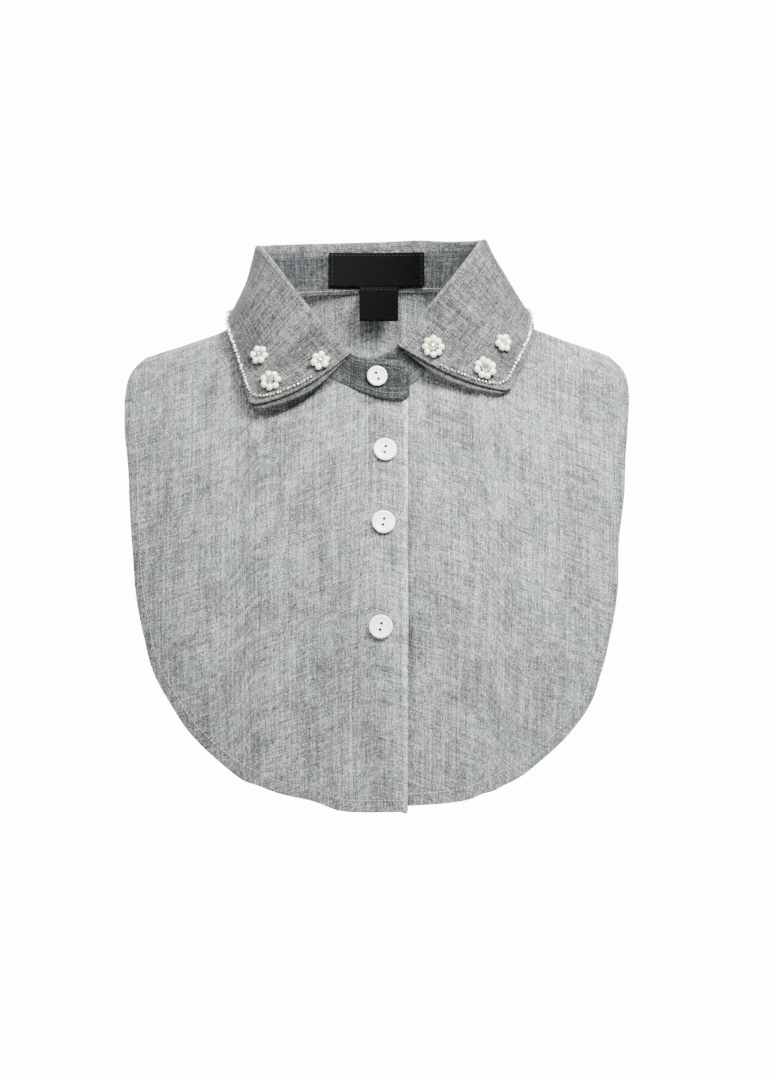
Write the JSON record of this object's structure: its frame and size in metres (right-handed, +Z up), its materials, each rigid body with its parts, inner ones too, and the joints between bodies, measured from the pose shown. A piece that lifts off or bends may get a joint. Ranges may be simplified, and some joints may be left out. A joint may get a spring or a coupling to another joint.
{
  "type": "dickey collar",
  "caption": "False shirt front and back with a beaded point collar, buttoned down the front and standing as worn.",
  "frame": {"origin": "middle of the neck opening, at the height where the shoulders meet the collar", "axes": "+X to the viewer's right as seen from the front, which is the wearer's left; -Y towards the front; +Z up"},
  "size_m": [0.3205, 0.1818, 0.3605],
  "materials": {
    "chambray": "heathered grey cotton chambray",
    "label_satin": "black woven satin, bare",
    "button_resin": "polished white resin",
    "pearl": "pearl lacquer on resin beads",
    "bead_silver": "silver-lined glass seed beads"
  },
  "bodies": {
    "root": {"front_over": "chambray", "front_under": "chambray", "back_panel": "chambray", "collar_stand": "chambray", "collar_leaf": "chambray", "neck_label": "label_satin", "care_label": "label_satin", "button_collar": "button_resin", "button_1": "button_resin", "button_2": "button_resin", "button_3": "button_resin", "bead_trim": "bead_silver", "flower_1": "pearl", "flower_2": "pearl", "flower_3": "pearl", "flower_4": "pearl", "flower_5": "pearl", "flower_6": "pearl"}
  },
  "joints": []
}
